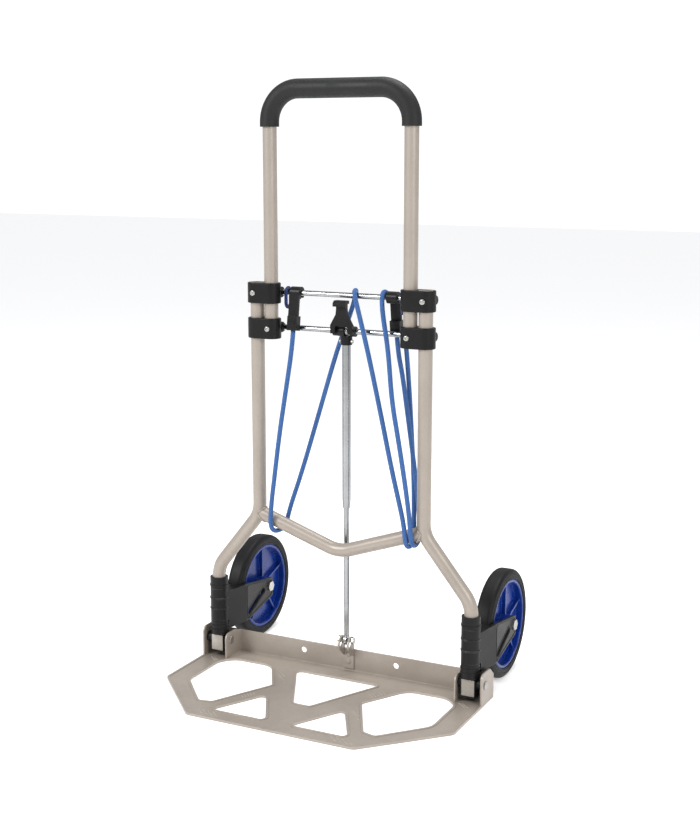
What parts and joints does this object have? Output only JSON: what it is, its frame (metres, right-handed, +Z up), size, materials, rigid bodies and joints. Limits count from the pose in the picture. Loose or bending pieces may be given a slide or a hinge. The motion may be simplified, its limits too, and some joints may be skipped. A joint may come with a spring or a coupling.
{
  "type": "folding platform cart",
  "caption": "Folding platform cart with a telescoping U handle, a fold-up slotted toe plate, inward-folding wheels, a lifting rod and an elastic cord.",
  "frame": {"origin": "on the floor under the hinge line, midway between the side tubes, on the underside of the open toe plate", "axes": "+X to the right seen from the front, +Y back towards the wheels, +Z up along the tubes"},
  "size_m": [0.509, 0.458, 0.952],
  "materials": {
    "painted_tube": "satin powder coat",
    "black_plastic": "satin",
    "grip_foam": "foam",
    "bright_rod": "bright",
    "zinc_steel": "zinc plated",
    "foot_aluminium": "cast",
    "blue_hub": "gloss",
    "tyre_rubber": "satin",
    "cord_braid": "woven braid"
  },
  "bodies": {
    "frame": {"side_tube_left": "painted_tube", "side_tube_right": "painted_tube", "cross_tube": "painted_tube", "upper_crossbar": "bright_rod", "upper_clamp_left": "black_plastic", "upper_clamp_right": "black_plastic", "upper_clamp_screw_left": "zinc_steel", "upper_clamp_screw_right": "zinc_steel", "upper_bar_nut_left": "zinc_steel", "upper_bar_nut_right": "zinc_steel", "upper_collar_left": "black_plastic", "upper_collar_right": "black_plastic", "lower_collar_left": "black_plastic", "lower_collar_right": "black_plastic", "foot_block_left": "foot_aluminium", "foot_block_right": "foot_aluminium", "hinge_bush_left": "black_plastic", "hinge_bush_right": "black_plastic", "hinge_pin_left": "zinc_steel", "hinge_pin_right": "zinc_steel", "cord_hook_left": "black_plastic", "cord_hook_right": "black_plastic", "cord_keeper_left": "cord_braid", "cord_keeper_right": "cord_braid", "elastic_cord": "cord_braid"},
    "handle": {"handle_tube": "painted_tube", "handle_grip": "grip_foam", "lower_crossbar": "bright_rod", "lower_clamp_left": "black_plastic", "lower_clamp_right": "black_plastic", "lower_clamp_screw_left": "zinc_steel", "lower_clamp_screw_right": "zinc_steel", "lower_bar_nut_left": "zinc_steel", "lower_bar_nut_right": "zinc_steel", "lower_bar_collar_left": "black_plastic", "lower_bar_collar_right": "black_plastic", "latch_body": "black_plastic", "latch_rivets": "zinc_steel", "latch_spring": "zinc_steel", "rod_tube": "bright_rod"},
    "latch_lever": {"latch_lever": "black_plastic"},
    "toe_plate": {"toe_plate": "painted_tube", "rod_bracket": "zinc_steel", "bracket_rivet_upper": "zinc_steel", "bracket_rivet_lower": "zinc_steel"},
    "lift_rod": {"lift_rod": "bright_rod", "rod_bolt": "zinc_steel", "rod_nut": "zinc_steel"},
    "wheel_fork_left": {"wheel_fork_left": "black_plastic", "axle_left": "zinc_steel", "axle_nut_left": "zinc_steel"},
    "wheel_fork_right": {"wheel_fork_right": "black_plastic", "axle_right": "zinc_steel", "axle_nut_right": "zinc_steel"},
    "wheel_left": {"tyre_left": "tyre_rubber", "wheel_hub_left": "blue_hub"},
    "wheel_right": {"tyre_right": "tyre_rubber", "wheel_hub_right": "blue_hub"}
  },
  "joints": [
    {"name": "handle_slide", "type": "slide", "parent": "frame", "child": "handle", "axis": [0, 0, -1], "range_m": [0, 0.21]},
    {"name": "latch_pull", "type": "hinge", "parent": "handle", "child": "latch_lever", "pos_m": [0, 0.02, 0.5665], "axis": [1, 0, 0], "range_deg": [0, 15], "stiffness_Nm_per_rad": 0.05, "springref_deg": -28.65},
    {"name": "plate_fold", "type": "hinge", "parent": "frame", "child": "toe_plate", "pos_m": [0, 0, 0.032], "axis": [-1, 0, 0], "range_deg": [0, 90]},
    {"name": "rod_drop", "type": "slide", "parent": "frame", "child": "lift_rod", "axis": [0, 0, -1], "range_m": [0, 0.05001]},
    {"name": "wheel_swing_right", "type": "hinge", "parent": "frame", "child": "wheel_fork_right", "pos_m": [0.227, 0, 0.094], "axis": [0, 0, 1], "range_deg": [0, 90.01]},
    {"name": "wheel_roll_right", "type": "hinge", "parent": "wheel_fork_right", "child": "wheel_right", "pos_m": [0.227, 0.131, 0.089], "axis": [1, 0, 0], "continuous": true},
    {"name": "wheel_swing_left", "type": "hinge", "parent": "frame", "child": "wheel_fork_left", "pos_m": [-0.227, 0, 0.094], "axis": [0, 0, -1], "range_deg": [0, 90.01]},
    {"name": "wheel_roll_left", "type": "hinge", "parent": "wheel_fork_left", "child": "wheel_left", "pos_m": [-0.227, 0.131, 0.089], "axis": [1, 0, 0], "continuous": true}
  ],
  "couplings": [
    {"joint": "rod_drop", "follows": "plate_fold", "m_per_rad": 0.031831},
    {"joint": "wheel_swing_right", "follows": "plate_fold", "ratio": 1},
    {"joint": "wheel_swing_left", "follows": "plate_fold", "ratio": 1}
  ]
}
